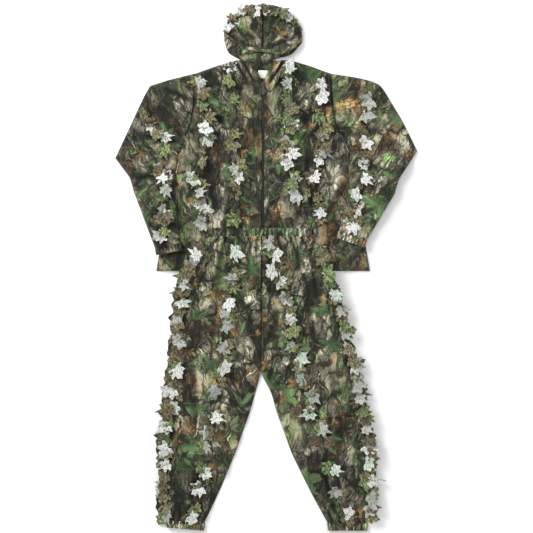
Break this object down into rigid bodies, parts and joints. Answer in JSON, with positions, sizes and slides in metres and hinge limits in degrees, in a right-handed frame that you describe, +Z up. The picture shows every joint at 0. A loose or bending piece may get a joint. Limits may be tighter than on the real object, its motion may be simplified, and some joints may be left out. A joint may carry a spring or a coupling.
{
  "type": "ghillie suit",
  "caption": "Two-piece leafy camouflage suit laid flat: hooded full-zip jacket and elastic-waist trousers, with sewn-on strips of cut cloth leaves for concealment.",
  "frame": {"origin": "on the ground under the zip, level with the jacket's hem", "axes": "+Z up out of the suit's front, +Y towards the hood, +X towards the suit's right as it is looked down on (the side nodes call right)"},
  "size_m": [1.058, 1.851, 0.051],
  "materials": {
    "leaf_print_cloth": "matt woven polyester printed with bark, branches and leaves",
    "leaf_strip_cloth": "cut cloth leaves, printed on the face and pale behind",
    "elastic_webbing": "ribbed elastic webbing",
    "label_cloth": "blank satin label",
    "zip_tape_cloth": "twill zip tape",
    "zip_coil_plastic": "moulded nylon coil",
    "zip_metal": "dark coated die casting"
  },
  "bodies": {
    "jacket": {"jacket_back": "leaf_print_cloth", "jacket_front_left": "leaf_print_cloth", "jacket_front_right": "leaf_print_cloth", "neck_facing": "leaf_print_cloth", "neck_label": "label_cloth", "zip_tape_left": "zip_tape_cloth", "zip_tape_right": "zip_tape_cloth", "zip_coil_left": "zip_coil_plastic", "zip_coil_right": "zip_coil_plastic", "zip_pin": "zip_coil_plastic", "zip_box": "zip_coil_plastic", "zip_top_stops": "zip_coil_plastic", "jacket_leaf_strip_left_outer": "leaf_strip_cloth", "jacket_leaf_strip_left_inner": "leaf_strip_cloth", "jacket_leaf_strip_right_inner": "leaf_strip_cloth", "jacket_leaf_strip_right_outer": "leaf_strip_cloth"},
    "slider": {"zip_slider": "zip_metal"},
    "pull": {"zip_pull": "zip_metal"},
    "hood": {"hood_panel_left": "leaf_print_cloth", "hood_panel_right": "leaf_print_cloth", "hood_brim": "leaf_print_cloth", "hood_leaf_strip": "leaf_strip_cloth"},
    "trousers": {"waist_casing": "leaf_print_cloth", "waist_elastic": "elastic_webbing", "trousers_left_back": "leaf_print_cloth", "trousers_left_front": "leaf_print_cloth", "trousers_left_front_leaf_strip": "leaf_strip_cloth", "trousers_left_outer_leaf_strip": "leaf_strip_cloth", "trousers_right_back": "leaf_print_cloth", "trousers_right_front": "leaf_print_cloth", "trousers_right_front_leaf_strip": "leaf_strip_cloth", "trousers_right_outer_leaf_strip": "leaf_strip_cloth"},
    "upper_sleeve_left": {"upper_sleeve_left_back": "leaf_print_cloth", "upper_sleeve_left_front": "leaf_print_cloth", "upper_sleeve_left_leaf_strip": "leaf_strip_cloth"},
    "forearm_left": {"forearm_sleeve_left_back": "leaf_print_cloth", "forearm_sleeve_left_front": "leaf_print_cloth", "forearm_sleeve_left_leaf_strip": "leaf_strip_cloth", "cuff_left_casing": "leaf_print_cloth", "cuff_left_elastic": "elastic_webbing"},
    "lower_leg_left": {"lower_leg_left_back": "leaf_print_cloth", "lower_leg_left_front": "leaf_print_cloth", "ankle_left_casing": "leaf_print_cloth", "ankle_left_elastic": "elastic_webbing", "lower_leg_left_front_leaf_strip": "leaf_strip_cloth", "lower_leg_left_outer_leaf_strip": "leaf_strip_cloth"},
    "upper_sleeve_right": {"upper_sleeve_right_back": "leaf_print_cloth", "upper_sleeve_right_front": "leaf_print_cloth", "upper_sleeve_right_leaf_strip": "leaf_strip_cloth"},
    "forearm_right": {"forearm_sleeve_right_back": "leaf_print_cloth", "forearm_sleeve_right_front": "leaf_print_cloth", "forearm_sleeve_right_leaf_strip": "leaf_strip_cloth", "cuff_right_casing": "leaf_print_cloth", "cuff_right_elastic": "elastic_webbing"},
    "lower_leg_right": {"lower_leg_right_back": "leaf_print_cloth", "lower_leg_right_front": "leaf_print_cloth", "ankle_right_casing": "leaf_print_cloth", "ankle_right_elastic": "elastic_webbing", "lower_leg_right_front_leaf_strip": "leaf_strip_cloth", "lower_leg_right_outer_leaf_strip": "leaf_strip_cloth"}
  },
  "joints": [
    {"name": "hood_fold", "type": "hinge", "parent": "jacket", "child": "hood", "pos_m": [0, 0.7395, 0.041], "axis": [1, 0, 0], "range_deg": [0, 180]},
    {"name": "zip_slide", "type": "slide", "parent": "jacket", "child": "slider", "axis": [0, -1, 0], "range_m": [0, 0.44]},
    {"name": "zip_pull_swing", "type": "hinge", "parent": "slider", "child": "pull", "pos_m": [0, 0.65, 0.0241], "axis": [-1, 0, 0], "range_deg": [0, 170]},
    {"name": "trousers_lift", "type": "slide", "parent": "jacket", "child": "trousers", "axis": [0, 0, 1], "range_m": [0, 0.3]},
    {"name": "shoulder_fold_left", "type": "hinge", "parent": "jacket", "child": "upper_sleeve_left", "pos_m": [-0.2405, 0.6, 0.034], "axis": [0, 1, 0], "range_deg": [0, 75]},
    {"name": "elbow_fold_left", "type": "hinge", "parent": "upper_sleeve_left", "child": "forearm_left", "pos_m": [-0.4, 0.3945, 0.034], "axis": [-1, 0, 0], "range_deg": [0, 150]},
    {"name": "knee_fold_left", "type": "hinge", "parent": "trousers", "child": "lower_leg_left", "pos_m": [-0.22, -0.6405, 0.034], "axis": [-1, 0, 0], "range_deg": [0, 150]},
    {"name": "shoulder_fold_right", "type": "hinge", "parent": "jacket", "child": "upper_sleeve_right", "pos_m": [0.2405, 0.6, 0.034], "axis": [0, -1, 0], "range_deg": [0, 75]},
    {"name": "elbow_fold_right", "type": "hinge", "parent": "upper_sleeve_right", "child": "forearm_right", "pos_m": [0.4, 0.4195, 0.034], "axis": [-1, 0, 0], "range_deg": [0, 150]},
    {"name": "knee_fold_right", "type": "hinge", "parent": "trousers", "child": "lower_leg_right", "pos_m": [0.22, -0.6405, 0.034], "axis": [-1, 0, 0], "range_deg": [0, 150]}
  ]
}
